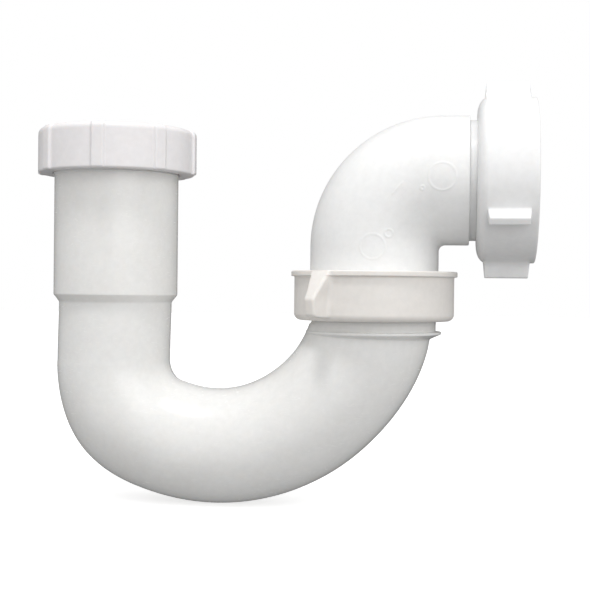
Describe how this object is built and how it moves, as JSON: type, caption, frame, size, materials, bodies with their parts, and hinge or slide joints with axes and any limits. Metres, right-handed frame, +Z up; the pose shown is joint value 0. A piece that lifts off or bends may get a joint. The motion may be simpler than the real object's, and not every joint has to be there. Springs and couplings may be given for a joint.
{
  "type": "p trap",
  "caption": "White plastic P-trap: slip-joint socket with ribbed nut, J-bend, captive union nut, swivel elbow and captive winged outlet nut.",
  "frame": {"origin": "on the inlet axis at the top of the socket's tailpiece bore, 5 mm below the socket's mouth", "axes": "+Z up out of the inlet socket; +X out of the outlet; Y across the trap"},
  "size_m": [0.1906, 0.0664, 0.1595],
  "materials": {
    "bend_plastic": "satin, slightly translucent",
    "inlet_nut_plastic": "satin",
    "union_nut_plastic": "satin",
    "elbow_plastic": "glossy",
    "outlet_nut_plastic": "satin",
    "washer_plastic": "soft, matte",
    "gasket_rubber": "matte"
  },
  "bodies": {
    "trap": {"trap_bend": "bend_plastic"},
    "inlet_seal": {"inlet_washer": "washer_plastic"},
    "slip_nut": {"inlet_nut": "inlet_nut_plastic"},
    "union_ring": {"union_nut": "union_nut_plastic"},
    "union_seal": {"union_gasket": "gasket_rubber"},
    "swivel_elbow": {"elbow": "elbow_plastic", "outlet_tail": "elbow_plastic"},
    "outlet_ring": {"outlet_nut": "outlet_nut_plastic"},
    "outlet_seal": {"outlet_washer": "gasket_rubber"}
  },
  "joints": [
    {"name": "inlet_nut_lift", "type": "slide", "parent": "trap", "child": "inlet_seal", "axis": [0, 0, 1], "range_m": [0, 0.01104]},
    {"name": "inlet_nut_turn", "type": "hinge", "parent": "inlet_seal", "child": "slip_nut", "pos_m": [0, 0, 0], "axis": [0, 0, 1], "range_deg": [0, 1800]},
    {"name": "union_nut_turn", "type": "hinge", "parent": "trap", "child": "union_ring", "pos_m": [0.10042, 0, -0.057], "axis": [0, 0, -1], "range_deg": [0, 1800]},
    {"name": "union_lift", "type": "slide", "parent": "trap", "child": "union_seal", "axis": [0, 0, 1], "range_m": [0, 0.01104]},
    {"name": "elbow_swivel", "type": "hinge", "parent": "union_seal", "child": "swivel_elbow", "pos_m": [0.10042, 0, -0.052], "axis": [0, 0, 1], "continuous": true},
    {"name": "outlet_nut_turn", "type": "hinge", "parent": "swivel_elbow", "child": "outlet_ring", "pos_m": [0.13822, 0, -0.0081], "axis": [1, 0, 0], "continuous": true},
    {"name": "outlet_washer_pull", "type": "slide", "parent": "swivel_elbow", "child": "outlet_seal", "axis": [1, 0, 0], "range_m": [0, 0.018]}
  ],
  "couplings": [
    {"joint": "inlet_nut_lift", "follows": "inlet_nut_turn", "m_per_rad": 0.00035152},
    {"joint": "union_lift", "follows": "union_nut_turn", "m_per_rad": 0.00035152}
  ]
}
